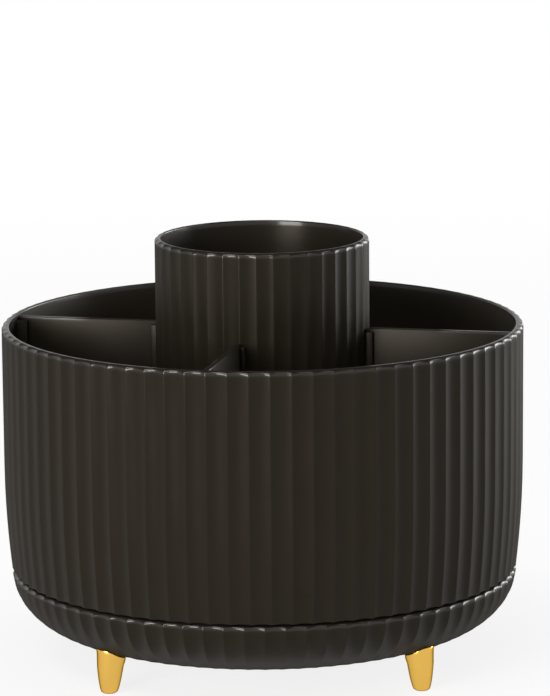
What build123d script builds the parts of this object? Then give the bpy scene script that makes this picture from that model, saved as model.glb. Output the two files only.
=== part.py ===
from build123d import *
import math
import os

# Rotating desk holder: a fluted drum with a cup and four dividers, which turns on a ball race
# over a fluted base bowl with four feet.
# Sizes are in millimetres and angles in degrees. The origin is on the surface that the feet stand on,
# in the middle, with Z up along the turning axis and the front towards -Y.

# Base bowl
bowl_underside = 10.4
bowl_flat_radius = 57.5
bowl_depth = 17.65
bowl_wall = 2.4
bowl_floor = 2.2
seam_radius = 78.0
seam_gap = 0.5

# Drum
drum_radius = 80.0
drum_wall = 2.4
drum_floor = 2.4
rim_height = 104.2
belly_height = 62.0
skirt_wall = 1.4
skirt_gap = 0.7
skirt_reach = 3.0

# Flutes of the drum and the bowl, and the rounding of the edges where they end
flute_count = 80
flute_depth = 0.8
edge_round = 1.0

# Cup
cup_radius = 32.9
cup_wall = 2.0
cup_floor = 2.2
cup_rise = 26.4
cup_flute_count = 40
cup_flute_depth = 0.6
cup_seat_height = 2.0
cup_seat_clearance = 0.3
cup_foot_gap = 0.2

# Dividers and the guide ribs that hold their ends
divider_count = 4
divider_thickness = 2.0
divider_drop = 0.8
divider_end_gap = 0.3
guide_clearance = 0.1
guide_tip = 1.2
guide_root = 2.6
guide_reach = 3.2
cup_guide_reach = 2.0
guide_drop = 1.0

# Ball race between the base and the drum
race_radius = 42.0
race_width_inwards = 11.0
race_width_outwards = 12.0
plate_thickness = 1.0
plate_gap = 2.8
groove_clearance = 0.1
ball_radius = 2.5
ball_count = 20
cage_thickness = 1.6
cage_width = 7.6
cage_clearance = 0.1
pedestal_height = 6.4
drum_pedestal_height = 6.4
pedestal_wall = 1.8
plate_boss_radius = 3.2
plate_screw_inset = 3.5
plate_screw_count = 4

# Pivot
spigot_radius = 4.0
bush_wall = 1.5
bush_flange_radius = 8.0
bush_flange = 1.2
bush_fit = 0.05
running_clearance = 0.08
axial_play = 0.3
hub_radius = 10.5
hub_height = 11.8
pocket_radius = 8.0
pocket_depth = 4.4
washer_radius = 7.2
washer_thickness = 1.2

# Screws
screw_fit = 0.05
plate_screw = {"shank": 1.15, "length": 5.5, "head": 2.2, "head_height": 1.5}
cup_screw = {"shank": 1.15, "length": 8.0, "head": 2.2, "head_height": 1.5}
foot_screw = {"shank": 1.45, "length": 11.0, "head": 3.2, "head_height": 2.0}
pivot_screw_size = {"shank": 1.9, "length": 11.0, "head": 3.8, "head_height": 2.6}
screw_tip_room = 0.5
cup_screw_radius = 19.0
cup_screw_count = 3
cup_boss_radius = 3.4
cup_boss_height = 4.0

# Feet
foot_count = 4
foot_tip_radius = 2.0
foot_top_radius = 4.8
foot_inset = 12.8
foot_lean = 1.1
foot_length = 16.0
foot_round = 0.4
foot_seat_gap = 0.1
foot_peg_radius = 2.6
foot_peg_clearance = 0.1
foot_pad_radius = 5.2
foot_pad_height = 17.0

# The drum is at rest with its first divider turned this far from +X, and the flutes of the drum and the cup
# are turned a little against the dividers
tray_turn = -13.0
flute_turn = 1.0

# Heights that follow from the sizes above
bowl_top = bowl_underside + bowl_depth
bowl_inside = bowl_underside + bowl_floor
drum_edge = bowl_top + seam_gap
lower_plate_base = bowl_inside + pedestal_height
ball_height = lower_plate_base + plate_thickness + plate_gap / 2
upper_plate_top = ball_height + plate_gap / 2 + plate_thickness
drum_underside = upper_plate_top + drum_pedestal_height
drum_inside = drum_underside + drum_floor
cup_seat = drum_inside + cup_seat_height
cup_inside = cup_seat + cup_floor
cup_top = rim_height + cup_rise
divider_top = rim_height - divider_drop
hub_top = bowl_inside + hub_height
pocket_top = bowl_underside + pocket_depth
spigot_end = pocket_top - axial_play
washer_base = spigot_end - washer_thickness
plate_screw_depth = plate_screw["length"] - plate_thickness + screw_tip_room

# Distances from the axis that follow from the sizes above
race_inner_radius = race_radius - race_width_inwards
race_outer_radius = race_radius + race_width_outwards
lower_screw_radius = race_outer_radius - plate_screw_inset
upper_screw_radius = race_inner_radius + plate_screw_inset
foot_top_place = seam_radius - foot_inset
foot_tip_place = foot_top_place + foot_lean


def ring(inner, outer, low, high):
    """Upright ring or, with no inner radius, a disc."""
    body = Pos(0, 0, (low + high) / 2) * Cylinder(outer, high - low)
    if inner > 0:
        body -= Pos(0, 0, (low + high) / 2) * Cylinder(inner, 2 * (high - low))
    return body


def post(place, turn, radius, low, high):
    """Upright round post at a distance and a direction from the axis."""
    return Rot(Z=turn) * Pos(place, 0, (low + high) / 2) * Cylinder(radius, high - low)


def turned(*outline):
    """Body turned about the axis from corners given as (radius, height)."""
    return revolve(Plane.XZ * make_face(Polyline(*outline, close=True)), Axis.Z)


def around(count, first=0.0):
    """Directions of evenly spaced copies."""
    return [first + 360 / count * step for step in range(count)]


def fluted_outline(ridge_radius, depth, count, height):
    """Level outline of hollow flutes that meet in ridges, with a ridge towards +X."""
    half = 180 / count

    def point(radius, turn):
        return Vector(radius, 0, height).rotate(Axis.Z, turn)

    flutes = []
    for turn in around(count, half):
        start = point(ridge_radius, turn - half)
        middle = point(ridge_radius - depth, turn)
        end = point(ridge_radius, turn + half)
        flutes.append(Edge.make_three_point_arc(start, middle, end))
    return Wire(flutes)


def fluted_body(levels, count):
    """Solid through fluted outlines, from levels given as (height, ridge radius, flute depth)."""
    outlines = [fluted_outline(radius, depth, count, height) for height, radius, depth in levels]
    return Part() + Solid.make_loft(outlines, ruled=True)


def rounded_edge(height, radius, depth):
    """Levels that round a fluted wall over at its top edge."""
    levels = []
    for turn in (0, 30, 60, 90):
        inwards = edge_round * (1 - math.cos(math.radians(turn)))
        rise = edge_round * math.sin(math.radians(turn))
        levels.append((height - edge_round + rise, radius - inwards, depth * (1 - turn / 300)))
    return levels


def wall_tuck(height):
    """How far the drum's wall draws in below its belly, down to the seam."""
    if height >= belly_height:
        return 0.0
    return (drum_radius - seam_radius) * ((belly_height - height) / (belly_height - bowl_top)) ** 2


def tuck_levels(low):
    """Heights from a low level up to the belly, close enough to follow the wall's curve."""
    steps = 4
    return [low + (belly_height - low) * step / steps for step in range(steps + 1)]


def screw(shank, length, head, head_height):
    """Pan head screw, with its shank down from the origin and a cross recess in its head."""
    crown = head_height * 0.35
    body = turned((0, head_height), (head * 0.6, head_height), (head, head_height - crown), (head, 0), (0, 0))
    body += Pos(0, 0, -length / 2) * Cylinder(shank, length)
    slot = Box(head * 1.1, head * 0.28, head_height)
    recess = Pos(0, 0, head_height) * (slot + Rot(Z=90) * slot)
    return body - recess


# Base bowl

def bowl_curve(radial, drop, steps=6):
    """Quarter ellipse from the flat bottom up to the seam, as (radius, height) points."""
    points = []
    for step in range(steps + 1):
        turn = math.radians(90 * step / steps)
        points.append((bowl_flat_radius + radial * math.sin(turn), bowl_top - drop * math.cos(turn)))
    return points


def bowl_outside():
    """Fluted outside of the bowl, whose flutes fade out towards the flat bottom."""
    levels = []
    for radius, height in bowl_curve(seam_radius - bowl_flat_radius, bowl_depth)[:-1]:
        fade = ((radius - bowl_flat_radius) / (seam_radius - bowl_flat_radius)) ** 0.5
        levels.append((height, radius, flute_depth * fade))
    return fluted_body(levels + rounded_edge(bowl_top, seam_radius, flute_depth), flute_count)


def bowl_cavity():
    """Hollow of the bowl, with a smooth wall."""
    curve = bowl_curve(seam_radius - bowl_wall - bowl_flat_radius, bowl_depth - bowl_floor, steps=12)
    mouth_radius = curve[-1][0]
    over = bowl_top + edge_round
    return turned((0, bowl_inside), *curve, (mouth_radius, over), (0, over))


def bowl_inner_radius(height):
    """Inner radius of the bowl at a height."""
    rise = (bowl_top - height) / (bowl_depth - bowl_floor)
    return bowl_flat_radius + (seam_radius - bowl_wall - bowl_flat_radius) * math.sqrt(1 - rise**2)


def base_bowl(outside):
    """Bowl with its hub, the two rings and bosses under the race plate, and the pads over the feet."""
    inside = ring(0, hub_radius, bowl_underside, hub_top)
    inside += ring(race_inner_radius, race_inner_radius + pedestal_wall, bowl_underside, lower_plate_base)
    inside += ring(race_outer_radius - pedestal_wall, race_outer_radius, bowl_underside, lower_plate_base)
    for turn in around(plate_screw_count):
        inside += post(lower_screw_radius, turn, plate_boss_radius, bowl_underside, lower_plate_base)
    for turn in around(foot_count, 45):
        inside += post(foot_top_place, turn, foot_pad_radius, bowl_underside, foot_pad_height)
    bowl = outside - (bowl_cavity() - inside)
    bowl -= ring(0, pocket_radius, 0, pocket_top)
    bowl -= ring(0, spigot_radius + running_clearance + bush_wall + bush_fit, 0, hub_top + 1)
    for turn in around(plate_screw_count):
        low = lower_plate_base - plate_screw_depth
        bowl -= post(lower_screw_radius, turn, plate_screw["shank"] + screw_fit, low, lower_plate_base + 1)
    for turn in around(foot_count, 45):
        bowl -= post(foot_top_place, turn, foot_peg_radius + foot_peg_clearance, 0, foot_pad_height + 1)
    return bowl


def foot(outside):
    """Tapered foot that leans outwards, its top shaped to the bowl, with a peg through the bowl."""
    sections = []
    for height in (0, foot_length * 0.08, foot_length * 0.25, foot_length * 0.55, foot_length):
        share = height / foot_length
        radius = foot_tip_radius + (foot_top_radius - foot_tip_radius) * math.sqrt(share)
        place = foot_tip_place + (foot_top_place - foot_tip_place) * share
        sections.append(Pos(place, 0, height) * Circle(radius))
    leg = loft(sections)
    leg = fillet(leg.faces().sort_by(Axis.Z)[0].edges(), foot_round)
    leg = Rot(Z=45) * leg - Pos(0, 0, -foot_seat_gap) * outside
    leg += post(foot_top_place, 45, foot_peg_radius, foot_length / 2, foot_pad_height)
    reach = foot_screw["length"] + screw_tip_room
    return leg - post(
        foot_top_place, 45, foot_screw["shank"] + screw_fit, foot_pad_height - reach, foot_pad_height + 1
    )


# Ball race

def race_plate(screw_place):
    """Pressed ring with a ball groove, for under the balls, its flat top half the gap below their middles."""
    flat_top = ball_height - plate_gap / 2
    low = ball_height - ball_radius - groove_clearance - plate_thickness
    blank = ring(race_inner_radius, race_outer_radius, flat_top - plate_thickness, flat_top)
    channel = Pos(0, 0, ball_height) * Torus(race_radius, ball_radius + groove_clearance + plate_thickness)
    blank += channel & ring(race_inner_radius, race_outer_radius, low - 1, flat_top)
    blank -= Pos(0, 0, ball_height) * Torus(race_radius, ball_radius + groove_clearance)
    for turn in around(plate_screw_count):
        blank -= post(screw_place, turn, plate_screw["shank"] + screw_fit, low, ball_height)
    return blank


def ball_cage():
    """Ring that keeps the balls apart."""
    cage = ring(
        race_radius - cage_width / 2,
        race_radius + cage_width / 2,
        ball_height - cage_thickness / 2,
        ball_height + cage_thickness / 2,
    )
    for turn in around(ball_count):
        cage -= post(race_radius, turn, ball_radius + cage_clearance, ball_height - 3, ball_height + 3)
    return cage


# Pivot

def pivot_bush():
    """Flanged bush in the hub."""
    bore = spigot_radius + running_clearance
    bush = ring(bore, bore + bush_wall, pocket_top, hub_top)
    return bush + ring(bore, bush_flange_radius, hub_top, hub_top + bush_flange)


# Drum

def drum_outside():
    """Fluted outside of the drum, drawn in a little towards the seam."""
    levels = [(height, drum_radius - wall_tuck(height), flute_depth) for height in tuck_levels(drum_edge)]
    levels += rounded_edge(rim_height, drum_radius, flute_depth)
    return Rot(Z=flute_turn) * fluted_body(levels, flute_count)


def drum_cavity():
    """Room over the drum's floor, up to its rim."""
    wall = [(drum_radius - drum_wall - wall_tuck(height), height) for height in tuck_levels(drum_inside)]
    over = rim_height + 1
    return turned((0, drum_inside), *wall, (drum_radius - drum_wall, over), (0, over))


def drum_shell():
    """Drum with its floor, guides, cup seat, skirt, race rings and the spigot that it turns on."""
    slot_half = divider_thickness / 2 + guide_clearance
    tip = drum_radius - drum_wall - guide_reach
    guide_outline = Polyline(
        (tip, slot_half),
        (tip, slot_half + guide_tip),
        (drum_radius, slot_half + guide_root),
        (drum_radius, slot_half),
        close=True,
    )
    guide_height = divider_top - guide_drop - drum_inside
    guide = extrude(Pos(0, 0, drum_inside - 1) * make_face(guide_outline), guide_height + 1)
    guide += mirror(guide, Plane.XZ)
    cavity = drum_cavity()
    for turn in around(divider_count):
        cavity -= Rot(Z=turn) * guide
    cavity -= ring(0, cup_radius - cup_wall - cup_seat_clearance, drum_inside, cup_seat)
    hollow_radius = seam_radius - drum_wall
    drum = drum_outside() - cavity - ring(0, hollow_radius, 0, drum_underside)

    into_floor = drum_underside + drum_floor / 2
    skirt_low = bowl_top - skirt_reach
    skirt_outer = bowl_inner_radius(skirt_low) - skirt_gap
    drum += ring(skirt_outer - skirt_wall, skirt_outer, skirt_low, into_floor)
    drum += ring(race_inner_radius, race_inner_radius + pedestal_wall, upper_plate_top, into_floor)
    drum += ring(race_outer_radius - pedestal_wall, race_outer_radius, upper_plate_top, into_floor)
    shoulder = hub_top + bush_flange + axial_play
    drum += ring(0, bush_flange_radius, shoulder, into_floor)
    drum += ring(0, spigot_radius, spigot_end, into_floor)
    for turn in around(plate_screw_count):
        drum += post(upper_screw_radius, turn, plate_boss_radius, upper_plate_top, into_floor)
    for turn in around(cup_screw_count, 90):
        drum += post(cup_screw_radius, turn, cup_boss_radius, drum_underside - cup_boss_height, into_floor)

    for turn in around(plate_screw_count):
        high = upper_plate_top + plate_screw_depth
        drum -= post(upper_screw_radius, turn, plate_screw["shank"] + screw_fit, upper_plate_top - 1, high)
    for turn in around(cup_screw_count, 90):
        depth = cup_screw["length"] - cup_floor + screw_tip_room
        drum -= post(cup_screw_radius, turn, cup_screw["shank"] + screw_fit, cup_seat - depth, cup_seat + 1)
    depth = pivot_screw_size["length"] - washer_thickness + screw_tip_room
    drum -= ring(0, pivot_screw_size["shank"] + screw_fit, spigot_end - 1, spigot_end + depth)
    return drum


def center_cup():
    """Fluted cup that fits over the seat on the drum's floor, with guide ribs for the dividers."""
    low = drum_inside + cup_foot_gap
    levels = [(low, cup_radius, cup_flute_depth)] + rounded_edge(cup_top, cup_radius, cup_flute_depth)
    cup = Rot(Z=flute_turn) * fluted_body(levels, cup_flute_count)
    slot_half = divider_thickness / 2 + guide_clearance
    root = cup_radius - cup_wall / 2
    tip = cup_radius + cup_guide_reach
    guide_height = divider_top - guide_drop - low
    guide = Box(tip - root, guide_tip, guide_height)
    guide = Pos((root + tip) / 2, slot_half + guide_tip / 2, low + guide_height / 2) * guide
    guide += mirror(guide, Plane.XZ)
    for turn in around(divider_count):
        cup += Rot(Z=turn) * guide
    cup -= ring(0, cup_radius - cup_wall, cup_inside, cup_top + 1)
    cup -= ring(0, cup_radius - cup_wall, drum_inside - 1, cup_seat)
    for turn in around(cup_screw_count, 90):
        cup -= post(cup_screw_radius, turn, cup_screw["shank"] + screw_fit, cup_seat - 1, cup_inside + 1)
    return cup


def divider():
    """Upright plate from the cup to the drum's wall, which it follows down to the floor."""
    inner = cup_radius + divider_end_gap
    outer = drum_radius - drum_wall - divider_end_gap
    wall = [(outer - wall_tuck(height), height) for height in tuck_levels(drum_inside)]
    outline = Polyline((inner, drum_inside), *wall, (outer, divider_top), (inner, divider_top), close=True)
    return extrude(Plane.XZ * make_face(outline), divider_thickness / 2, both=True)


nodes = {}

# Pieces on the base

outside = bowl_outside()
nodes["base_bowl"] = [base_bowl(outside)]
for name, turn in (("back_right", 0), ("back_left", 90), ("front_left", 180), ("front_right", 270)):
    nodes["foot_" + name] = [Rot(Z=turn) * foot(outside)]
nodes["foot_screws"] = [
    Rot(Z=turn) * Pos(foot_top_place, 0, foot_pad_height) * screw(**foot_screw)
    for turn in around(foot_count, 45)
]
nodes["turntable_lower_plate"] = [race_plate(lower_screw_radius)]
nodes["lower_plate_screws"] = [
    Rot(Z=turn) * Pos(lower_screw_radius, 0, lower_plate_base + plate_thickness) * screw(**plate_screw)
    for turn in around(plate_screw_count)
]
nodes["pivot_bush"] = [pivot_bush()]

# Pieces between the race plates

nodes["ball_cage"] = [ball_cage()]
nodes["bearing_balls"] = [
    Rot(Z=turn) * Pos(race_radius, 0, ball_height) * Sphere(ball_radius) for turn in around(ball_count)
]

# Pieces that turn with the drum

tray = {"drum_shell": [drum_shell()], "center_cup": [center_cup()]}
for name, turn in (("right", 0), ("back", 90), ("left", 180), ("front", 270)):
    tray["divider_" + name] = [Rot(Z=turn) * divider()]
tray["turntable_upper_plate"] = [mirror(race_plate(upper_screw_radius), Plane.XY.offset(ball_height))]
upper_plate_low = upper_plate_top - plate_thickness
tray["upper_plate_screws"] = [
    Rot(Z=turn) * Pos(upper_screw_radius, 0, upper_plate_low) * Rot(X=180) * screw(**plate_screw)
    for turn in around(plate_screw_count)
]
tray["cup_screws"] = [
    Rot(Z=turn) * Pos(cup_screw_radius, 0, cup_inside) * screw(**cup_screw)
    for turn in around(cup_screw_count, 90)
]
tray["pivot_washer"] = [ring(pivot_screw_size["shank"] + screw_fit, washer_radius, washer_base, spigot_end)]
tray["pivot_screw"] = [Pos(0, 0, washer_base) * Rot(X=180) * screw(**pivot_screw_size)]
for name, pieces in tray.items():
    nodes[name] = [Rot(Z=tray_turn) * piece for piece in pieces]

os.makedirs("parts", exist_ok=True)
for name, pieces in nodes.items():
    solids = [solid for piece in pieces for solid in piece.solids()]
    export_step(Compound(solids), os.path.join("parts", name + ".step"))
    print(name, len(solids), "solid(s)", round(sum(solid.volume for solid in solids) / 1000, 2), "cm3")
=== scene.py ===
import math

import bmesh
import bpy
from bpy.props import FloatProperty, FloatVectorProperty, IntProperty, PointerProperty
from bpy.types import Operator, Panel, PropertyGroup
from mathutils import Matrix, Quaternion, Vector


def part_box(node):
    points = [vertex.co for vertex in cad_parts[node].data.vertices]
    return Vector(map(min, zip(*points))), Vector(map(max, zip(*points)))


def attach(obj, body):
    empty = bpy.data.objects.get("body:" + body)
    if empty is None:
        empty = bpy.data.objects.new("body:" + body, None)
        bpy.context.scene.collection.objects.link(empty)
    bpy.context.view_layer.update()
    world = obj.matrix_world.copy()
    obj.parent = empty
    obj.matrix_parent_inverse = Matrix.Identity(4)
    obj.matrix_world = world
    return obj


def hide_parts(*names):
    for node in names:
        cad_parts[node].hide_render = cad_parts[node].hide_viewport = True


bl_info = {
    "name": "Rotating desk holder",
    "version": (1, 0, 0),
    "blender": (4, 5, 0),
    "location": "3D view, sidebar, Desk holder",
    "description": "Builds a fluted desk holder that turns on its base, with its finishes and a small studio",
    "category": "Object",
}

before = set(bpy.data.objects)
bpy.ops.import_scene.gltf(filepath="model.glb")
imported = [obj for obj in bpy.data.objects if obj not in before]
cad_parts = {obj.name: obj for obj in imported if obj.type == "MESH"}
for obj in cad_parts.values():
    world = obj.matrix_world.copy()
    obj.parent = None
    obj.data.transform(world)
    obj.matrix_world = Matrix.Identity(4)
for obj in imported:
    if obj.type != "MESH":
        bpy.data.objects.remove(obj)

# Sizes are in millimetres, and in metres in the studio. Angles are in degrees.
# Heights are over the surface that the feet stand on, and radii are from the turning axis.
MM = 0.001


def heights(node):
    """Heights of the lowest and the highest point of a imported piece."""
    return [corner.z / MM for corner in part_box(node)]


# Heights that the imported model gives
BOWL_LOW, BOWL_TOP = heights("base_bowl")
SPIGOT_END, RIM = heights("drum_shell")
CUP_LOW, CUP_TOP = heights("center_cup")
DIVIDER_LOW, DIVIDER_TOP = heights("divider_right")
BUSH_TOP = heights("pivot_bush")[1]
UPPER_PLATE_TOP = heights("turntable_upper_plate")[1]
LOWER_SCREWS_TOP = heights("lower_plate_screws")[1]

# Base bowl, a quarter ellipse from its flat underside up to the seam, which ends a little below the lip
FLAT_RADIUS = 57.5
UNDERSIDE_RADIUS = 53.0
SEAM_RADIUS = 78.0
LIP_ROOM = 0.2
BOWL_WALL = 2.4
BOWL_FLOOR = 2.2
POCKET_DEPTH = 4.4
POCKET_RADIUS = 8.0
BUSH_BORE = 5.63
BUSH_FLANGE = 1.2
HUB_RADIUS = 10.5

# Drum
DRUM_RADIUS = 80.0
DRUM_WALL = 2.4
DRUM_FLOOR = 2.4
DRUM_INSIDE = DRUM_RADIUS - DRUM_WALL
BELLY = 62.0
SEAM_GAP = 0.5
SKIRT_RADIUS = 74.55
SKIRT_WALL = 1.4
SKIRT_REACH = 3.0
SPIGOT_RADIUS = 4.0
SHOULDER_RADIUS = 8.0
AXIAL_PLAY = 0.3

# Heights at which the drum's wall and the dividers have a row of corners, to follow the curve below the belly
TUCK_HEIGHTS = (36.5, 40.0, 44.5, 49.5, 55.0, BELLY)
OUTER_TUCK_HEIGHTS = (32.5, 36.0, *TUCK_HEIGHTS[1:])
WALL_MIDDLE = 83.0

# Cup
CUP_RADIUS = 32.9
CUP_INSIDE = 30.9
CUP_FLOOR = 2.2
CUP_SEAT_DEPTH = 1.8
CUP_MIDDLE = 80.0
SEAT_HEIGHT = 2.0
SEAT_CLEARANCE = 0.3

# Dividers, and the ribs that hold their ends
DIVIDER_COUNT = 4
DIVIDER_THICKNESS = 2.0
DIVIDER_END_GAP = 0.3
GUIDE_CLEARANCE = 0.1
GUIDE_THICKNESS = 1.2
GUIDE_SPREAD = 1.2
GUIDE_REACH = 3.2
GUIDE_ROOT = 0.2
CUP_GUIDE_REACH = 2.0
CUP_GUIDE_ROOT = 0.9
GUIDE_DROP = 1.0
GUIDE_EDGE = 0.3

# Ball race: the rings that carry its plates, and the bosses for its screws and the cup's
RACE_INNER = 31.0
RACE_OUTER = 54.0
PEDESTAL_WALL = 1.8
DRUM_PEDESTAL = 6.4
PLATE_THICKNESS = 1.0
SCREW_HEAD = 1.5
LOWER_PLATE_BASE = LOWER_SCREWS_TOP - SCREW_HEAD - PLATE_THICKNESS
SCREW_INSET = 3.5
PLATE_SCREW_COUNT = 4
PLATE_BOSS_RADIUS = 3.2
CUP_SCREW_COUNT = 3
CUP_SCREW_PLACE = 19.0
CUP_SCREW_DIRECTION = 90.0
CUP_BOSS_RADIUS = 3.4
CUP_BOSS_HEIGHT = 4.0
BOSS_SIDES = 24

# How far bosses and ribs reach into the floor that they stand on or hang from
SUNK = 0.5
HANGING_SUNK = 0.6

# Feet, which lean outwards from their top to their tip, and the pads over them inside the bowl
FOOT_COUNT = 4
FOOT_DIRECTION = 45.0
FOOT_INSET = 12.8
FOOT_PLACE = SEAM_RADIUS - FOOT_INSET
FOOT_LEAN = 1.1
FOOT_LENGTH = 16.0
FOOT_TIP_RADIUS = 2.0
FOOT_GROWTH = 2.8
FOOT_SIDES = 72
PEG_RADIUS = 2.6
PAD_RADIUS = 5.2
PAD_LOW = 13.7
PAD_TOP = 17.0
PAD_TILT = 15.0
PAD_SIDES = 32

# The foot's rounded tip, as (height, radius), and the heights of the rings along its leg
FOOT_TIP = ((0.0, 1.45), (0.03, 1.72), (0.12, 1.98), (0.27, 2.2))
FOOT_RINGS = (0.5, 0.9, 1.5, 2.4, 3.6, 5.0, 6.6, 8.2)

# Rings at the foot's top, as (height before it is fitted, radius, place, gap that is left under the bowl)
FOOT_TOP = {
    "leg": (9.0, 4.28, 65.38, 1.4),
    "wall": (9.1, 4.38, 65.36, 0.5),
    "edge": (9.2, 4.3, 65.35, 0.26),
    "rim": (9.3, 4.08, 65.35, 0.12),
    "bearing": (9.4, 2.6, 65.2, 0.1),
}

# The drum is at rest with its first divider turned this far from +X, and its flutes a little more
TRAY_TURN = -13.0
FLUTE_TURN = 1.0

# Share of the way across a flute at which its outline has a corner, close together at the ridges
FLUTE_BENDS = (0.0, 0.04, 0.16, 0.32, 0.5, 0.68, 0.84, 0.96)
ROUND_BENDS = (0.0,)

# A lip is rounded over in steps, while its flutes lose a share of their depth. Its inner edge follows, as
# (drop below the top, distance from the inside), after a level land of at least this width.
LIP_STEPS = 5
LIP_FADE = 0.85
LIP_INNER_EDGE = ((0.0, 0.42), (0.05, 0.2), (0.18, 0.06), (0.42, 0.0))
LIP_LAND = 0.02

# The drum's lower edge over the seam, as (rise, distance inwards, share of the flutes' depth)
SEAM_EDGE = ((0.0, 0.45, 0.85), (0.06, 0.24, 1.0), (0.2, 0.08, 1.0), (0.45, 0.0, 1.0))

# The inner corner between a wall and a floor begins at a height and ends at a width. Its bends between them
# are given as (height, distance from the wall).
DRUM_CORNER = (1.4, 1.2)
CUP_CORNER = (1.5, 1.3)
CORNER_BENDS = ((0.8, 0.15), (0.3, 0.5))

# Widths of the edges of small inner forms
FINE_EDGE = 0.2
BROAD_EDGE = 0.3

# Edges sharper than an angle are rounded, and the shading runs on over edges up to an angle
EDGE_ANGLE = 40.0
EDGE_STEPS = 3
SMOOTH_ANGLE = 38.0
FOOT_SMOOTH_ANGLE = 45.0

# Corners this near to a place are in it, corners this near to each other are merged, and scales that agree
# to this many digits are the same
NEAR = 0.01
SAME = 0.001
GROWTH_DIGITS = 7

# Polish on the upper edges, as (height over the top, share), and from the outside inwards, as (radius, share)
RUBBED = ((-1.7, 0.0), (-1.3, 1.0), (0.15, 1.0), (0.3, 0.0))
RUBBED_OUTSIDE = ((55.0, 0.0), (60.0, 1.0))
RAMP_HEIGHT = 150.0

# Lamps, as (size, azimuth to the right of the front, elevation), all at one distance from their target
LAMPS = {
    "key": ((0.6, 0.55), -34, 13),
    "high": ((0.7, 0.3), -34, 50),
    "fill": ((0.7, 0.6), 10, 44),
    "side": ((0.6, 0.6), 86, 30),
    "edge": ((1.1, 0.6), 120, 6),
}
LAMP_DISTANCE = 1.3
LAMP_TARGET = Vector((0, 0, 0.06))

# The floor's share of white by distance from the object. The backdrop is white up to one height of the
# direction that is looked in, and as dim as the room from another.
FLOOR_WIDTH = 12.0
FLOOR_WHITE = ((0.06, 0.84), (0.14, 0.95), (0.6, 0.95), (0.9, 1.0))
BACKDROP_WHITE = 0.17
BACKDROP_DIM = 0.45

# Camera, by its distance and rise from a point at a height on the axis, and the point that it aims at
CAMERA_LENS = 203.8
CAMERA_SENSOR = 36.0
CAMERA_DISTANCE = 1.2177
CAMERA_RISE = 12.546
CAMERA_LEVEL = 0.0611
CAMERA_AIM = Vector((0.0038, 0, 0.0958))
CAMERA_ROLL = -0.456


class HolderSizes(PropertyGroup):
    flute_count: IntProperty(
        name="Flutes", description="Flutes round the drum and the bowl", default=80, min=12
    )
    cup_flute_count: IntProperty(
        name="Cup flutes", description="Flutes round the cup", default=40, min=12
    )
    flute_depth: FloatProperty(
        name="Flute depth",
        description="Depth of the drum's and the bowl's flutes",
        default=0.8 * MM,
        unit="LENGTH",
    )
    cup_flute_depth: FloatProperty(
        name="Cup flute depth", description="Depth of the cup's flutes", default=0.6 * MM, unit="LENGTH"
    )
    ridge_round: FloatProperty(
        name="Ridge rounding",
        description="How far the ridges are rounded off",
        default=0.04 * MM,
        unit="LENGTH",
    )
    edge_round: FloatProperty(
        name="Edge rounding",
        description="Radius on the upper edges of drum, cup and bowl",
        default=1.35 * MM,
        unit="LENGTH",
    )
    divider_round: FloatProperty(
        name="Divider rounding",
        description="Radius along the edges of the dividers",
        default=0.35 * MM,
        unit="LENGTH",
    )


class HolderFinishes(PropertyGroup):
    plastic: FloatVectorProperty(
        name="Plastic",
        description="Colour of the moulded pieces",
        default=(0.0125, 0.0101, 0.0068),
        subtype="COLOR",
    )
    plastic_roughness: FloatProperty(
        name="Plastic roughness", description="How matt the moulded pieces are", default=0.29, min=0, max=1
    )
    gold: FloatVectorProperty(
        name="Gold", description="Colour of the plated feet", default=(0.81, 0.49, 0.10), subtype="COLOR"
    )
    zinc: FloatVectorProperty(
        name="Zinc",
        description="Colour of the pressed race plates",
        default=(0.56, 0.57, 0.58),
        subtype="COLOR",
    )
    screw: FloatVectorProperty(
        name="Screws",
        description="Colour of the screws and the washer",
        default=(0.42, 0.42, 0.43),
        subtype="COLOR",
    )
    ball: FloatVectorProperty(
        name="Balls", description="Colour of the polished balls", default=(0.72, 0.73, 0.75), subtype="COLOR"
    )
    acetal: FloatVectorProperty(
        name="Cage",
        description="Colour of the cage and the bush",
        default=(0.78, 0.77, 0.73),
        subtype="COLOR",
    )


class HolderStudio(PropertyGroup):
    floor: FloatVectorProperty(
        name="Floor", description="Colour of the floor", default=(0.80, 0.80, 0.80), subtype="COLOR"
    )
    key_power: FloatProperty(
        name="Key light", description="Power of the light at the left", default=13.5, unit="POWER"
    )
    high_power: FloatProperty(
        name="High light", description="Power of the narrow high light at the left", default=6.0, unit="POWER"
    )
    fill_power: FloatProperty(
        name="Fill light", description="Power of the raised light in front", default=2.0, unit="POWER"
    )
    side_power: FloatProperty(
        name="Side light", description="Power of the raised light at the right", default=2.0, unit="POWER"
    )
    edge_power: FloatProperty(
        name="Edge light",
        description="Power of the low light behind at the right",
        default=14.0,
        unit="POWER",
    )
    surroundings: FloatProperty(
        name="Surroundings", description="Brightness of the room round the object", default=0.10, min=0
    )


# Modelling by hand


def sizes():
    return bpy.context.scene.holder_sizes


def deselect():
    """Leaves edit mode with nothing selected."""
    if bpy.context.object and bpy.context.object.mode == "EDIT":
        bpy.ops.object.mode_set(mode="OBJECT")
    bpy.ops.object.select_all(action="DESELECT")


def select(*pieces):
    """Selects these pieces alone, with the first one active."""
    deselect()
    for piece in pieces:
        piece.select_set(True)
    bpy.context.view_layer.objects.active = pieces[0]


def edit(piece):
    """Takes one piece into edit mode."""
    select(piece)
    bpy.ops.object.mode_set(mode="EDIT")
    bpy.ops.mesh.select_mode(type="VERT")


def pick(piece, wanted):
    """Selects the corners of a piece whose place, in millimetres, is wanted."""
    mesh = bmesh.from_edit_mesh(piece.data)
    for corner in mesh.verts:
        corner.select = wanted(corner.co / MM)
    mesh.select_flush_mode()
    bmesh.update_edit_mesh(piece.data)


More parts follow.
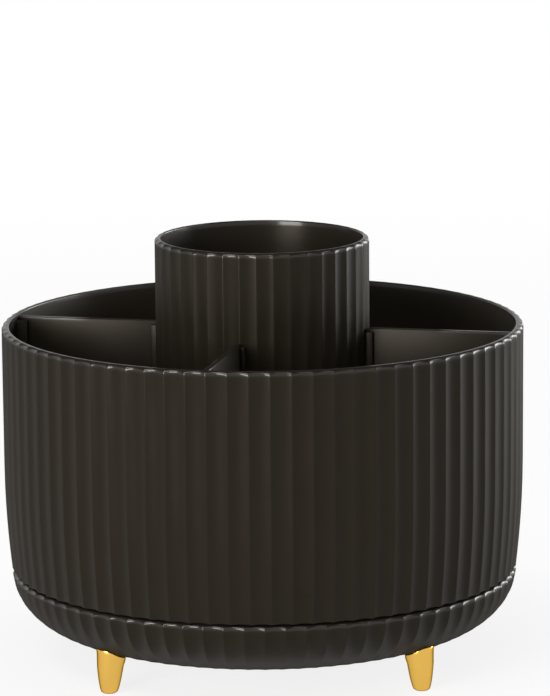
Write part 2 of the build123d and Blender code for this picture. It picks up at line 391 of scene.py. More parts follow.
def pick_numbers(piece, numbers):
    """Selects corners by their numbers."""
    bpy.ops.mesh.select_all(action="DESELECT")
    mesh = bmesh.from_edit_mesh(piece.data)
    mesh.verts.ensure_lookup_table()
    for number in numbers:
        mesh.verts[number].select = True
    mesh.select_flush_mode()
    bmesh.update_edit_mesh(piece.data)


def everything():
    bpy.ops.mesh.select_all(action="SELECT")


def move(x, y, z):
    bpy.ops.transform.translate(value=(x * MM, y * MM, z * MM))


def scale(x, y, z):
    bpy.ops.transform.resize(value=(x, y, z), center_override=(0, 0, 0))


def turn(degrees):
    """Turns the selection about the turning axis, counterclockwise from above."""
    bpy.ops.transform.rotate(value=-math.radians(degrees), orient_axis="Z", center_override=(0, 0, 0))


def close_hole():
    """Draws the selected ring together into a closed centre."""
    bpy.ops.mesh.extrude_region_move()
    bpy.ops.mesh.merge(type="CENTER")


def merge_doubles():
    everything()
    bpy.ops.mesh.remove_doubles(threshold=SAME * MM)


def round_the_axis(copies):
    """Repeats the piece in edit mode evenly round the axis."""
    everything()
    bpy.ops.mesh.spin(
        steps=copies - 1,
        dupli=True,
        angle=2 * math.pi * (copies - 1) / copies,
        center=(0, 0, 0),
        axis=(0, 0, 1),
    )


def spread(piece, copies, place, direction):
    """Moves a piece away from the axis and repeats it evenly round, with the first one in a direction."""
    edit(piece)
    everything()
    move(place, 0, 0)
    round_the_axis(copies)
    everything()
    turn(direction)
    deselect()


def round_edges(width):
    """Rounds every sharp edge of the piece in edit mode."""
    bpy.ops.mesh.select_mode(type="EDGE")
    bpy.ops.mesh.select_all(action="DESELECT")
    bpy.ops.mesh.edges_select_sharp(sharpness=math.radians(EDGE_ANGLE))
    bpy.ops.mesh.bevel(offset=width * MM, segments=EDGE_STEPS, affect="EDGES", clamp_overlap=True)
    bpy.ops.mesh.select_mode(type="VERT")


def started(name):
    """The primitive that was just added, named and in edit mode with everything selected."""
    piece = bpy.context.object
    piece.name = name
    piece.data.name = name
    edit(piece)
    everything()
    return piece


def start_point(name):
    """A piece with a single corner at the origin, selected."""
    deselect()
    bpy.ops.mesh.primitive_plane_add(size=MM)
    piece = started(name)
    bpy.ops.mesh.merge(type="CENTER")
    return piece


def block(name, low, high):
    """A block between two corners, selected."""
    deselect()
    bpy.ops.mesh.primitive_cube_add(size=MM)
    piece = started(name)
    scale(*(high[axis] - low[axis] for axis in range(3)))
    move(*((high[axis] + low[axis]) / 2 for axis in range(3)))
    return piece


def join(whole, *parts):
    """Joins the parts into the whole."""
    select(whole, *parts)
    bpy.ops.object.join()
    deselect()


def copy_of(piece, name):
    """A copy with a mesh of its own."""
    select(piece)
    bpy.ops.object.duplicate()
    twin = bpy.context.object
    twin.name = name
    twin.data.name = name
    return twin


def complete(piece, material, body, node, angle=SMOOTH_ANGLE):
    """Coats and smooths a piece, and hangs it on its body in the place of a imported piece."""
    piece.data.materials.clear()
    piece.data.materials.append(material)
    edit(piece)
    everything()
    bpy.ops.mesh.normals_make_consistent(inside=False)
    select(piece)
    bpy.ops.object.shade_smooth_by_angle(angle=math.radians(angle))
    deselect()
    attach(piece, body)
    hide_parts(node)


def flute_radius(level, bend, ridge_round):
    """Distance from the axis, at a share of the way across a flute."""
    _, radius, depth = level
    if bend in (0.0, 1.0):
        return radius - min(ridge_round, depth)
    across = 2 * bend - 1
    return radius - depth * (1 - across * across)


def pull(name, levels, count, bends=ROUND_BENDS, first=0.0, closed=True):
    """Draws one flute with extruded corners, spins it round the axis, and pulls the ring through the levels.

    A level is a height, the distance of the ridges from the axis and the depth of the flutes, which a round
    level leaves out. Where the piece isn't closed at its ends, its last level is the first one once more."""
    ridge_round = sizes().ridge_round / MM
    pitch = 360 / count
    levels = [level if len(level) == 3 else (*level, 0.0) for level in levels]
    piece = start_point(name)

    def corner(bend):
        direction = math.radians(first + pitch * bend)
        distance = flute_radius(levels[0], bend, ridge_round)
        return Vector((distance * math.cos(direction), distance * math.sin(direction), levels[0][0]))

    here = corner(bends[0])
    move(*here)
    for bend in (*bends[1:], 1.0):
        there = corner(bend)
        bpy.ops.mesh.extrude_region_move(TRANSFORM_OT_translate={"value": (there - here) * MM})
        here = there
    round_the_axis(count)
    merge_doubles()
    if closed:
        everything()
        close_hole()
        pick(piece, lambda at: at.xy.length > NEAR)

    distances = {bend: flute_radius(levels[0], bend, ridge_round) for bend in bends}
    for before, level in zip(levels, levels[1:]):
        rise = (level[0] - before[0]) * MM
        bpy.ops.mesh.extrude_region_move(TRANSFORM_OT_translate={"value": (0, 0, rise)})
        wanted = {bend: flute_radius(level, bend, ridge_round) for bend in bends}
        growth = {bend: wanted[bend] / distances[bend] for bend in bends}
        if max(growth.values()) - min(growth.values()) < 10**-GROWTH_DIGITS:
            scale(growth[bends[0]], growth[bends[0]], 1)
        else:
            scale_flutes(piece, bends, growth, pitch, first)
        distances = wanted
    if closed:
        close_hole()
    merge_doubles()
    deselect()
    return piece


def scale_flutes(piece, bends, growth, pitch, first):
    """Scales the selected ring, each corner of the flutes by its own amount."""
    mesh = bmesh.from_edit_mesh(piece.data)
    mesh.verts.index_update()
    groups = {}
    for corner in mesh.verts:
        if not corner.select:
            continue
        share = (math.degrees(math.atan2(corner.co.y, corner.co.x)) - first) / pitch % 1
        nearest = min((*bends, 1.0), key=lambda bend: abs(bend - share))
        growing = round(growth[0.0 if nearest == 1.0 else nearest], GROWTH_DIGITS)
        groups.setdefault(growing, []).append(corner.index)
    for growing, group in groups.items():
        pick_numbers(piece, group)
        scale(growing, growing, 1)
    pick_numbers(piece, [number for group in groups.values() for number in group])


def bowl_curve(low, radius, arc, steps):
    """Rings up the side of the bowl along its ellipse, as (height, radius, share of the way outwards)."""
    rings = []
    for step in range(steps + 1):
        angle = math.radians(arc * step / steps)
        share = math.sin(angle)
        height = BOWL_TOP - (BOWL_TOP - low) * math.cos(angle)
        rings.append((height, FLAT_RADIUS + (radius - FLAT_RADIUS) * share, share))
    return rings


def wall_tuck(height):
    """How far the drum's wall draws in below its belly, down to the seam."""
    if height >= BELLY:
        return 0.0
    return (DRUM_RADIUS - SEAM_RADIUS) * ((BELLY - height) / (BELLY - BOWL_TOP)) ** 2


def rounded_lip(top, radius, depth, inside):
    """Levels over the upper edge of a fluted wall, from its outside to its smooth inside."""
    room = radius - inside - LIP_INNER_EDGE[0][1] - LIP_LAND - (1 - LIP_FADE) * depth
    edge = min(sizes().edge_round / MM, room)
    levels = []
    for step in range(LIP_STEPS + 1):
        angle = math.radians(90 * step / LIP_STEPS)
        height = top - edge + edge * math.sin(angle)
        ridges = radius - edge * (1 - math.cos(angle))
        levels.append((height, ridges, depth * (1 - LIP_FADE * step / LIP_STEPS)))
    return levels + [(top - drop, inside + reach) for drop, reach in LIP_INNER_EDGE]


def rounded_corner(floor, wall, width):
    """Levels round the inner corner between a wall and a floor, from below its start to the floor."""
    return [(floor + rise, wall - inwards) for rise, inwards in (*CORNER_BENDS, (0.0, width))]


def guide_ribs(name, near, far, low, wider=0.0):
    """A pair of upright ribs for each divider's end, which may be wider at their far side."""
    inner = DIVIDER_THICKNESS / 2 + GUIDE_CLEARANCE
    outer = inner + GUIDE_THICKNESS
    ribs = block(name, (near, inner, low), (far, outer, DIVIDER_TOP - GUIDE_DROP))
    pick(ribs, lambda at: at.x > far - NEAR and at.y > outer - NEAR)
    move(0, wider, 0)
    round_edges(GUIDE_EDGE)
    everything()
    bpy.ops.mesh.duplicate()
    scale(1, -1, 1)
    spread(ribs, DIVIDER_COUNT, 0, TRAY_TURN)
    return ribs


# Finishes


class Amount:
    """A number that varies over a surface. Sums of amounts add their own nodes."""

    def __init__(self, finish, socket):
        self.finish = finish
        self.socket = socket

    def combine(self, operation, first, second):
        made = self.finish.node("ShaderNodeMath", {"operation": operation}, {0: first, 1: second})
        return Amount(self.finish, made.outputs[0])

    def __add__(self, other):
        return self.combine("ADD", self, other)

    def __radd__(self, other):
        return self.combine("ADD", other, self)

    def __sub__(self, other):
        return self.combine("SUBTRACT", self, other)

    def __rsub__(self, other):
        return self.combine("SUBTRACT", other, self)

    def __mul__(self, other):
        return self.combine("MULTIPLY", self, other)

    def __rmul__(self, other):
        return self.combine("MULTIPLY", other, self)


class Finish:
    """A material, or the surroundings, and the nodes that are added to it."""

    def __init__(self, name, world=False):
        self.owner = (bpy.data.worlds if world else bpy.data.materials).new(name)
        self.owner.use_nodes = True
        self.tree = self.owner.node_tree
        self.tree.nodes.clear()
        self.output = self.node("ShaderNodeOutputWorld" if world else "ShaderNodeOutputMaterial")
        self.place = self.node("ShaderNodeTexCoord").outputs["Generated" if world else "Object"]

    def node(self, kind, settings=None, sockets=None):
        """Adds a node, with its settings first and then the values or links of its sockets."""
        made = self.tree.nodes.new(kind)
        for name, value in (settings or {}).items():
            if name == "stops":
                self.set_stops(made.color_ramp, value)
            else:
                setattr(made, name, value)
        for name, value in (sockets or {}).items():
            value = value.socket if isinstance(value, Amount) else value
            if isinstance(value, bpy.types.NodeSocket):
                self.tree.links.new(value, made.inputs[name])
            else:
                made.inputs[name].default_value = value
        return made

    def set_stops(self, ramp, stops):
        """Gives a ramp its stops, as (place, grey) pairs."""
        while len(ramp.elements) < len(stops):
            ramp.elements.new(0.5)
        for element, (at, grey) in zip(ramp.elements, stops):
            element.position = at
            element.color = (grey, grey, grey, 1)

    def noise(self, size, detail=2.0, stretch=(1, 1, 1)):
        """Cloudy variation with features of a size in millimetres."""
        stretched = self.node("ShaderNodeMapping", {}, {"Vector": self.place, "Scale": stretch}).outputs[0]
        sockets = {"Vector": stretched, "Scale": 1 / (size * MM), "Detail": detail}
        return Amount(self, self.node("ShaderNodeTexNoise", {}, sockets).outputs["Fac"])

    def cells(self, size):
        """Distance from scattered points that are a size in millimetres apart."""
        made = self.node("ShaderNodeTexVoronoi", {}, {"Vector": self.place, "Scale": 1 / (size * MM)})
        return Amount(self, made.outputs["Distance"])

    def height(self):
        """Height on a piece, in metres, or height of the direction that is looked in."""
        return Amount(self, self.node("ShaderNodeSeparateXYZ", {}, {0: self.place}).outputs[2])

    def length(self, vector):
        made = self.node("ShaderNodeVectorMath", {"operation": "LENGTH"}, {0: vector})
        return Amount(self, made.outputs["Value"])

    def stepped(self, amount, *stops):
        """The amount passed through a ramp of (place, grey) stops."""
        made = self.node("ShaderNodeValToRGB", {"stops": stops}, {"Fac": amount})
        return Amount(self, made.outputs["Color"])

    def blend(self, share, first, second):
        """Colour between two colours."""
        colours = {"A": first, "B": second}
        made = self.node("ShaderNodeMix", {"data_type": "RGBA"}, {"Factor": share})
        for socket in made.inputs:
            if socket.type == "RGBA":
                value = colours[socket.name]
                if isinstance(value, bpy.types.NodeSocket):
                    self.tree.links.new(value, socket)
                else:
                    socket.default_value = (*value, 1)
        return next(socket for socket in made.outputs if socket.type == "RGBA")

    def seen(self):
        """One for what is seen directly, in a gloss or through a clear piece, and none for what lights."""
        path = self.node("ShaderNodeLightPath").outputs
        return (
            Amount(self, path["Is Camera Ray"])
            + Amount(self, path["Is Glossy Ray"])
            + Amount(self, path["Is Transmission Ray"])
        )

    def relief(self, height, depth):
        """Surface direction over a relief with a depth in millimetres."""
        return self.node("ShaderNodeBump", {}, {"Height": height, "Distance": depth * MM}).outputs["Normal"]

    def end_with(self, shader):
        """Links the last shader, and returns the finished material or surroundings."""
        self.tree.links.new(shader.outputs[0], self.output.inputs["Surface"])
        return self.owner

    def surface(self, **sockets):
        """The finished surface, from socket names with underscores for their spaces."""
        named = {name.replace("_", " "): value for name, value in sockets.items()}
        return self.end_with(self.node("ShaderNodeBsdfPrincipled", {}, named))


def tones():
    return bpy.context.scene.holder_finishes


def darker(colour, share):
    return tuple(channel * share for channel in colour)


def rubbed_edges(finish):
    """Share of polish on the upper edges of bowl, drum and cup, which are rubbed smooth in use."""
    height = finish.height() * (1 / (RAMP_HEIGHT * MM))
    flat = finish.node("ShaderNodeVectorMath", {"operation": "MULTIPLY"}, {0: finish.place, 1: (1, 1, 0)})
    radius = finish.length(flat.outputs[0])
    outside = finish.stepped(radius, *((place * MM, share) for place, share in RUBBED_OUTSIDE))
    bowl, drum, cup = (
        finish.stepped(height, *(((top + over) / RAMP_HEIGHT, share) for over, share in RUBBED))
        for top in (BOWL_TOP, RIM, CUP_TOP)
    )
    return (bowl + drum) * outside + cup


def moulded_plastic():
    """Satin black plastic, with a fine moulded grain, faint uneven gloss and rubbed upper edges."""
    finish = Finish("black plastic")
    clouds = finish.noise(size=9.0, detail=3.0)
    grain = finish.noise(size=0.16)
    flow = finish.noise(size=2.4, stretch=(1, 1, 0.15))
    specks = finish.stepped(finish.cells(size=2.6), (0.0, 1.0), (0.055, 0.0))
    slant = Amount(finish, finish.node("ShaderNodeLayerWeight").outputs["Facing"])
    colour = finish.blend(clouds, darker(tones().plastic, 0.88), darker(tones().plastic, 1.12))
    roughness = tones().plastic_roughness - 0.05
    return finish.surface(
        Base_Color=finish.blend(specks * 0.10, colour, (0.06, 0.055, 0.05)),
        Roughness=roughness + clouds * 0.07 + grain * 0.04 + slant * slant * slant * 0.8,
        Normal=finish.relief(grain * 0.6 + flow * 0.4, depth=0.012),
        Specular_IOR_Level=0.12,
        Specular_Tint=(1.0, 0.89, 0.76, 1.0),
        Coat_Weight=rubbed_edges(finish) * 0.55,
        Coat_Roughness=0.16,
    )


def plated_gold():
    """Polished gold plating, with faint turning marks and a slight orange peel."""
    finish = Finish("gold plating")
    clouds = finish.noise(size=4.0)
    peel = finish.noise(size=0.8)
    marks = finish.noise(size=0.22, stretch=(0.05, 0.05, 1))
    return finish.surface(
        Base_Color=finish.blend(clouds, darker(tones().gold, 0.94), tones().gold),
        Metallic=1.0,
        Roughness=0.17 + clouds * 0.06 + marks * 0.05,
        Specular_Tint=(0.02, 0.01, 0.0, 1.0),
        Normal=finish.relief(peel * 0.5 + marks * 0.5, depth=0.006),
    )


def plain_metal(name, colour, roughness, depth, size):
    """Plated metal, with crystals of a size, fine scratches of a depth and uneven gloss."""
    finish = Finish(name)
    clouds = finish.noise(size=6.0, detail=3.0)
    crystals = finish.cells(size)
    scratches = finish.noise(size=0.3, detail=3.0, stretch=(1, 0.06, 1))
    return finish.surface(
        Base_Color=finish.blend(crystals * 0.6 + clouds * 0.4, darker(colour, 0.82), colour),
        Metallic=1.0,
        Roughness=roughness - 0.06 + clouds * 0.10 + scratches * 0.08,
        Normal=finish.relief(scratches * 0.7 + crystals * 0.3, depth),
    )


def white_acetal():
    """Natural white acetal, a little waxy."""
    finish = Finish("white acetal")
    clouds = finish.noise(size=5.0)
    grain = finish.noise(size=0.2)
    return finish.surface(
        Base_Color=finish.blend(clouds, darker(tones().acetal, 0.94), tones().acetal),
        Roughness=0.36 + clouds * 0.08 + grain * 0.05,
        Normal=finish.relief(grain, depth=0.01),
        Subsurface_Weight=0.15,
        Subsurface_Scale=1.5 * MM,
    )


def coat_nodes(material, *names):
    """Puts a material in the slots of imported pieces."""
    for name in names:
        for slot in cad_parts[name].material_slots:
            slot.material = material


def named_material(name, make):
    """The material of that name, made when it is first asked for."""
    return bpy.data.materials.get(name) or make()


def complete_black(piece, body, node):
    """Completes a moulded piece, in the black plastic that all of them share."""
    complete(piece, named_material("black plastic", moulded_plastic), body, node)


# Pieces


class HOLDER_OT_bowl(Operator):
    """Base bowl, with its hub, the rings and bosses under the race and the pads over the feet"""

    bl_idname = "holder.bowl"
    bl_label = "Base bowl"

    def execute(self, context):
        depth = sizes().flute_depth / MM
        floor = BOWL_LOW + BOWL_FLOOR
        pocket = BOWL_LOW + POCKET_DEPTH
        hub_top = BUSH_TOP - BUSH_FLANGE
        inside = SEAM_RADIUS - BOWL_WALL
        curve_end = BOWL_TOP - sizes().edge_round / MM - LIP_ROOM
        levels = [(pocket, BUSH_BORE), (pocket, POCKET_RADIUS), (BOWL_LOW + BROAD_EDGE, POCKET_RADIUS)]
        levels += [(BOWL_LOW, POCKET_RADIUS + BROAD_EDGE), (BOWL_LOW, UNDERSIDE_RADIUS)]
        levels += [
            (height, radius, depth * math.sqrt(share))
            for height, radius, share in bowl_curve(BOWL_LOW, SEAM_RADIUS, arc=90, steps=16)[1:]
            if height < curve_end
        ]
        levels += rounded_lip(BOWL_TOP, SEAM_RADIUS, depth, inside)
        inner_curve = bowl_curve(floor, inside, arc=84, steps=10)
        levels += [(height, radius) for height, radius, _ in reversed(inner_curve)]
        for outer in (RACE_OUTER, RACE_INNER + PEDESTAL_WALL):
            inner = outer - PEDESTAL_WALL
            levels += [(floor, outer), (LOWER_PLATE_BASE, outer), (LOWER_PLATE_BASE, inner), (floor, inner)]
        levels += [(floor, HUB_RADIUS), (hub_top, HUB_RADIUS), (hub_top, BUSH_BORE), (pocket, BUSH_BORE)]
        bowl = pull("bowl", levels, sizes().flute_count, FLUTE_BENDS, closed=False)
        join(bowl, self.screw_bosses(floor), self.foot_pads())
        complete_black(bowl, "base", "base_bowl")
        return {"FINISHED"}

    def screw_bosses(self, floor):
        """Bosses under the lower race plate."""
        radius = PLATE_BOSS_RADIUS
        top = LOWER_PLATE_BASE
        levels = [(floor - SUNK, radius), (top - FINE_EDGE, radius), (top, radius - FINE_EDGE)]
        bosses = pull("bosses", levels, BOSS_SIDES)
        spread(bosses, PLATE_SCREW_COUNT, RACE_OUTER - SCREW_INSET, 0)
        return bosses

    def foot_pads(self):
        """Pads inside the bowl, over the feet, each with its lower end tilted to stay in the bowl's wall."""
        edge = PAD_RADIUS - FINE_EDGE
        levels = [(PAD_LOW, edge), (PAD_TOP - FINE_EDGE, PAD_RADIUS), (PAD_TOP, edge)]
        pads = pull("pads", levels, PAD_SIDES)
        edit(pads)
        pick(pads, lambda at: at.z < PAD_LOW + NEAR)
        middle = (0, 0, PAD_LOW * MM)
        bpy.ops.transform.rotate(value=math.radians(PAD_TILT), orient_axis="Y", center_override=middle)
        spread(pads, FOOT_COUNT, FOOT_PLACE, FOOT_DIRECTION)
        return pads


class HOLDER_OT_feet(Operator):
    """Four tapered feet that lean outwards, each with its top shaped to the bowl"""

    bl_idname = "holder.feet"
    bl_label = "Feet"

    def execute(self, context):
        gold = named_material("gold plating", plated_gold)
        foot = self.foot()
        for number, name in enumerate(("back_right", "back_left", "front_left", "front_right")):
            piece = copy_of(foot, f"foot_{name}_shaped")
            edit(piece)
            everything()
            turn(360 / FOOT_COUNT * number)
            self.fit_to_bowl(piece)
            complete(piece, gold, "base", f"foot_{name}", FOOT_SMOOTH_ANGLE)
        bpy.data.objects.remove(foot)
        return {"FINISHED"}

    def foot(self):
        """The first foot, with each ring of its top in a group, to be fitted to the bowl."""
        rings = [(height, radius, self.place(height)) for height, radius in FOOT_TIP]
        rings += [(height, self.radius(height), self.place(height)) for height in FOOT_RINGS]
        rings += [(height, radius, place) for height, radius, place, _ in FOOT_TOP.values()]
        rings.append((PAD_TOP, PEG_RADIUS, FOOT_PLACE))
        foot = pull("foot", [(height, radius) for height, radius, _ in rings], FOOT_SIDES)
        edit(foot)
        for height, _, place in rings:
            pick(foot, lambda at: abs(at.z - height) < NEAR)
            move(place, 0, 0)
        everything()
        turn(FOOT_DIRECTION)
        deselect()
        for name, (height, *_) in FOOT_TOP.items():
            ring = [corner.index for corner in foot.data.vertices if abs(corner.co.z / MM - height) < NEAR]
            foot.vertex_groups.new(name=name).add(ring, 1.0, "REPLACE")
        return foot

    def place(self, height):
        """Distance of the foot's middle from the axis, at a height."""
        return FOOT_PLACE + FOOT_LEAN - FOOT_LEAN * height / FOOT_LENGTH

    def radius(self, height):
        """Radius of the foot's leg, at a height."""
        return FOOT_TIP_RADIUS + FOOT_GROWTH * math.sqrt(height / FOOT_LENGTH)

    def fit_to_bowl(self, piece):
        """Moves each ring of the foot's top up to the bowl's underside, less its gap."""
        select(piece)
        for name, (*_, gap) in FOOT_TOP.items():
            fit = piece.modifiers.new(name, "SHRINKWRAP")
            fit.target = bpy.data.objects["bowl"]
            fit.wrap_method = "PROJECT"
            fit.use_project_x = False
            fit.use_project_y = False
            fit.use_project_z = True
            fit.use_positive_direction = True
            fit.use_negative_direction = False
            fit.offset = gap * MM
            fit.vertex_group = name
            bpy.ops.object.modifier_apply(modifier=fit.name)


class HOLDER_OT_drum(Operator):
    """Fluted drum, with its floor, the guides for the dividers, and the rings and spigot under its floor"""

    bl_idname = "holder.drum"
    bl_label = "Drum"

    def execute(self, context):
        under = UPPER_PLATE_TOP + DRUM_PEDESTAL
        floor = under + DRUM_FLOOR
        levels = self.underside(under) + self.wall(floor) + self.cup_seat(floor)
        drum = pull("drum", levels, sizes().flute_count, FLUTE_BENDS, TRAY_TURN + FLUTE_TURN)
        near, far = DRUM_INSIDE - GUIDE_REACH, DRUM_INSIDE + GUIDE_ROOT
        guides = guide_ribs("guides", near, far, floor - SUNK, wider=GUIDE_SPREAD)
        plate_bosses = self.bosses("plate_bosses", PLATE_BOSS_RADIUS, UPPER_PLATE_TOP, under)
        spread(plate_bosses, PLATE_SCREW_COUNT, RACE_INNER + SCREW_INSET, TRAY_TURN)
        cup_bosses = self.bosses("cup_bosses", CUP_BOSS_RADIUS, under - CUP_BOSS_HEIGHT, under)
        spread(cup_bosses, CUP_SCREW_COUNT, CUP_SCREW_PLACE, TRAY_TURN + CUP_SCREW_DIRECTION)
        join(drum, guides, plate_bosses, cup_bosses)
        complete_black(drum, "tray", "drum_shell")
        return {"FINISHED"}

    def underside(self, under):
        """Levels from the spigot's end outwards, over the rings for the race and the skirt, to the wall."""
        shoulder = BUSH_TOP + AXIAL_PLAY
        skirt_low = BOWL_TOP - SKIRT_REACH
        skirt_inside = SKIRT_RADIUS - SKIRT_WALL
        levels = [(SPIGOT_END, SPIGOT_RADIUS - BROAD_EDGE), (SPIGOT_END + BROAD_EDGE, SPIGOT_RADIUS)]
        levels += [(shoulder, SPIGOT_RADIUS), (shoulder, SHOULDER_RADIUS - FINE_EDGE)]
        levels += [(shoulder + FINE_EDGE, SHOULDER_RADIUS), (under, SHOULDER_RADIUS)]
        for inner in (RACE_INNER, RACE_OUTER - PEDESTAL_WALL):
            outer = inner + PEDESTAL_WALL
            levels += [(under, inner), (UPPER_PLATE_TOP, inner), (UPPER_PLATE_TOP, outer), (under, outer)]
        levels += [(under, skirt_inside), (skirt_low + FINE_EDGE, skirt_inside)]
        levels += [(skirt_low, skirt_inside + FINE_EDGE), (skirt_low, SKIRT_RADIUS - FINE_EDGE)]
        levels += [(skirt_low + FINE_EDGE, SKIRT_RADIUS), (under, SKIRT_RADIUS)]
        return levels + [(under, SEAM_RADIUS - DRUM_WALL)]

    def wall(self, floor):
        """Levels from the wall's lower edge up its fluted outside, over the rim and down to the floor."""
        depth = sizes().flute_depth / MM
        low = BOWL_TOP + SEAM_GAP
        inside = SEAM_RADIUS - DRUM_WALL
        corner_height, corner_width = DRUM_CORNER
        levels = [(low + FINE_EDGE, inside), (low, inside + FINE_EDGE)]
        for rise, inwards, share in SEAM_EDGE:
            levels.append((low + rise, DRUM_RADIUS - wall_tuck(low + rise) - inwards, depth * share))
        for height in (*OUTER_TUCK_HEIGHTS, WALL_MIDDLE):
            levels.append((height, DRUM_RADIUS - wall_tuck(height), depth))
        levels += rounded_lip(RIM, DRUM_RADIUS, depth, DRUM_INSIDE)
        for height in (WALL_MIDDLE, *reversed(TUCK_HEIGHTS), floor + corner_height):
            levels.append((height, DRUM_INSIDE - wall_tuck(height)))
        return levels + rounded_corner(floor, DRUM_INSIDE - wall_tuck(floor), corner_width)

    def cup_seat(self, floor):
        """Levels over the round seat that the cup is set on."""
        radius = CUP_INSIDE - SEAT_CLEARANCE
        top = floor + SEAT_HEIGHT
        return [(floor, radius), (top - FINE_EDGE, radius), (top, radius - FINE_EDGE)]

    def bosses(self, name, radius, low, under):
        """A screw boss that hangs from the drum's floor, on the axis."""
        levels = [(low, radius - FINE_EDGE), (low + FINE_EDGE, radius), (under + HANGING_SUNK, radius)]
        return pull(name, levels, BOSS_SIDES)


class HOLDER_OT_cup(Operator):
    """Fluted cup in the middle of the drum, with guide ribs for the dividers"""

    bl_idname = "holder.cup"
    bl_label = "Cup"

    def execute(self, context):
        depth = sizes().cup_flute_depth / MM
        seat = CUP_LOW + CUP_SEAT_DEPTH
        floor = seat + CUP_FLOOR
        corner_height, corner_width = CUP_CORNER
        levels = [(seat, CUP_INSIDE), (CUP_LOW + FINE_EDGE, CUP_INSIDE), (CUP_LOW, CUP_INSIDE + FINE_EDGE)]
        levels += [(CUP_LOW, CUP_RADIUS - BROAD_EDGE, depth), (CUP_LOW + BROAD_EDGE, CUP_RADIUS, depth)]
        levels += [(CUP_MIDDLE, CUP_RADIUS, depth), *rounded_lip(CUP_TOP, CUP_RADIUS, depth, CUP_INSIDE)]
        levels += [(CUP_MIDDLE, CUP_INSIDE), (floor + corner_height, CUP_INSIDE)]
        levels += rounded_corner(floor, CUP_INSIDE, corner_width)
        cup = pull("cup", levels, sizes().cup_flute_count, FLUTE_BENDS, TRAY_TURN + FLUTE_TURN)
        near, far = CUP_RADIUS - CUP_GUIDE_ROOT, CUP_RADIUS + CUP_GUIDE_REACH
        join(cup, guide_ribs("cup_guides", near, far, CUP_LOW + GUIDE_CLEARANCE))
        complete_black(cup, "tray", "center_cup")
        return {"FINISHED"}


class HOLDER_OT_dividers(Operator):
    """Four upright plates from the cup to the drum's wall"""

    bl_idname = "holder.dividers"
    bl_label = "Dividers"

    def execute(self, context):
        inner = CUP_RADIUS + DIVIDER_END_GAP
        outer = DRUM_INSIDE - DIVIDER_END_GAP
        middle = (inner + outer) / 2
        half = DIVIDER_THICKNESS / 2
        plate = block("divider", (inner, -half, DIVIDER_LOW), (outer, half, DIVIDER_TOP))
        for height in TUCK_HEIGHTS:
            everything()
            bpy.ops.mesh.bisect(plane_co=(0, 0, height * MM), plane_no=(0, 0, 1))
        for height in (DIVIDER_LOW, *TUCK_HEIGHTS):
            pick(plate, lambda at: at.x > middle and abs(at.z - height) < NEAR)
            move(-wall_tuck(height), 0, 0)
        round_edges(sizes().divider_round / MM)
        for number, name in enumerate(("right", "back", "left", "front")):
            piece = copy_of(plate, f"divider_{name}_rounded")
            edit(piece)
            everything()
            turn(TRAY_TURN + 360 / DIVIDER_COUNT * number)
            complete_black(piece, "tray", f"divider_{name}")
        bpy.data.objects.remove(plate)
        return {"FINISHED"}


class HOLDER_OT_bearing(Operator):
    """Finishes of the race plates, the cage, the balls, the bush, the washer and the screws"""

    bl_idname = "holder.bearing"
    bl_label = "Bearing and screws"

    def execute(self, context):
        colours = tones()
        zinc = plain_metal("zinc plate", colours.zinc, roughness=0.34, depth=0.02, size=2.2)
        steel = plain_metal("screw steel", colours.screw, roughness=0.30, depth=0.008, size=0.8)
        polish = plain_metal("ball steel", colours.ball, roughness=0.13, depth=0.002, size=1.2)
        coat_nodes(zinc, "turntable_lower_plate", "turntable_upper_plate")
        coat_nodes(steel, "foot_screws", "lower_plate_screws", "upper_plate_screws", "cup_screws")
        coat_nodes(steel, "pivot_screw", "pivot_washer")
        coat_nodes(polish, "bearing_balls")
        coat_nodes(white_acetal(), "ball_cage", "pivot_bush")
        return {"FINISHED"}


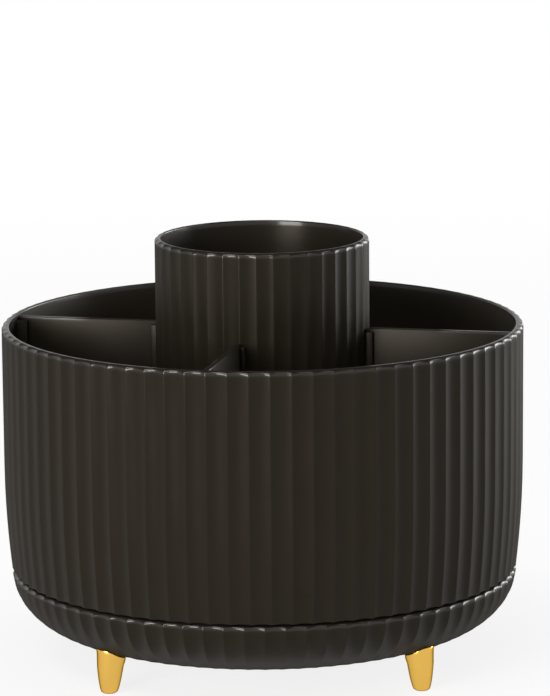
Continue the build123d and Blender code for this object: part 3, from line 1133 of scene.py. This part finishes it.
class HOLDER_OT_studio(Operator):
    """Floor, soft lights, surroundings and camera"""

    bl_idname = "holder.studio"
    bl_label = "Studio"

    def execute(self, context):
        studio = context.scene.holder_studio
        self.floor(studio.floor)
        for name, (size, azimuth, elevation) in LAMPS.items():
            self.light(name, getattr(studio, f"{name}_power"), size, azimuth, elevation)
        self.surroundings(context.scene, studio.surroundings)
        self.camera(context.scene)
        context.scene.view_settings.view_transform = "Standard"
        return {"FINISHED"}

    def floor(self, colour):
        deselect()
        bpy.ops.mesh.primitive_plane_add(size=FLOOR_WIDTH)
        floor = bpy.context.object
        floor.name = "floor"
        floor.data.materials.append(self.floor_paint(colour))

    def floor_paint(self, colour):
        """A matt pale floor round the object, white further off to whatever sees it directly."""
        finish = Finish("floor paint")
        white = finish.stepped(finish.length(finish.place), *FLOOR_WHITE)
        matt = finish.node("ShaderNodeBsdfDiffuse", {}, {"Color": (*colour, 1)}).outputs[0]
        glow = finish.node("ShaderNodeEmission", {}, {"Color": (1, 1, 1, 1), "Strength": 1.0}).outputs[0]
        mixed = finish.node("ShaderNodeMixShader", {}, {0: white * finish.seen(), 1: matt, 2: glow})
        return finish.end_with(mixed)

    def light(self, name, power, size, azimuth, elevation):
        """A soft rectangular light that faces the object, placed by its direction from the front."""
        bpy.ops.object.light_add(type="AREA")
        lamp = bpy.context.object
        lamp.name = name
        lamp.data.shape = "RECTANGLE"
        lamp.data.size, lamp.data.size_y = size
        lamp.data.energy = power
        around, up = math.radians(azimuth), math.radians(elevation)
        direction = Vector((math.cos(up) * math.sin(around), -math.cos(up) * math.cos(around), math.sin(up)))
        lamp.location = LAMP_TARGET + LAMP_DISTANCE * direction
        lamp.rotation_euler = (-direction).to_track_quat("-Z", "Y").to_euler()

    def surroundings(self, scene, brightness):
        """A dim even room, with a white backdrop above the floor for whatever sees it directly."""
        room = Finish("surroundings", world=True)
        seen = room.seen()
        backdrop = room.stepped(room.height(), (BACKDROP_WHITE, 1.0), (BACKDROP_DIM, brightness))
        strength = backdrop * seen + (1 - seen) * brightness
        glow = room.node("ShaderNodeBackground", {}, {"Color": (1, 1, 1, 1), "Strength": strength})
        scene.world = room.end_with(glow)

    def camera(self, scene):
        bpy.ops.object.camera_add()
        camera = bpy.context.object
        camera.name = "camera"
        camera.data.lens = CAMERA_LENS
        camera.data.sensor_width = CAMERA_SENSOR
        up = math.radians(CAMERA_RISE)
        place = Vector((0, -CAMERA_DISTANCE * math.cos(up), CAMERA_LEVEL + CAMERA_DISTANCE * math.sin(up)))
        roll = Quaternion((0, 0, 1), math.radians(CAMERA_ROLL))
        camera.location = place
        camera.rotation_euler = ((CAMERA_AIM - place).to_track_quat("-Z", "Y") @ roll).to_euler()
        scene.camera = camera


class HOLDER_PT_panel(Panel):
    bl_label = "Desk holder"
    bl_idname = "HOLDER_PT_panel"
    bl_space_type = "VIEW_3D"
    bl_region_type = "UI"
    bl_category = "Desk holder"

    def draw(self, context):
        for group in (context.scene.holder_sizes, context.scene.holder_finishes, context.scene.holder_studio):
            column = self.layout.column(align=True)
            for name in group.__annotations__:
                column.prop(group, name)
        for operator in OPERATORS:
            self.layout.operator(operator.bl_idname)


GROUPS = {"holder_sizes": HolderSizes, "holder_finishes": HolderFinishes, "holder_studio": HolderStudio}
OPERATORS = (
    HOLDER_OT_bowl,
    HOLDER_OT_feet,
    HOLDER_OT_drum,
    HOLDER_OT_cup,
    HOLDER_OT_dividers,
    HOLDER_OT_bearing,
    HOLDER_OT_studio,
)


def register():
    for kind in (*GROUPS.values(), *OPERATORS, HOLDER_PT_panel):
        bpy.utils.register_class(kind)
    for name, group in GROUPS.items():
        setattr(bpy.types.Scene, name, PointerProperty(type=group))


def unregister():
    for name in GROUPS:
        delattr(bpy.types.Scene, name)
    for kind in reversed((*GROUPS.values(), *OPERATORS, HOLDER_PT_panel)):
        bpy.utils.unregister_class(kind)


def main():
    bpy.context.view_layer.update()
    register()
    bpy.ops.holder.bowl()
    bpy.ops.holder.feet()
    bpy.ops.holder.drum()
    bpy.ops.holder.cup()
    bpy.ops.holder.dividers()
    bpy.ops.holder.bearing()
    bpy.ops.holder.studio()


if __name__ == "__main__":
    main()
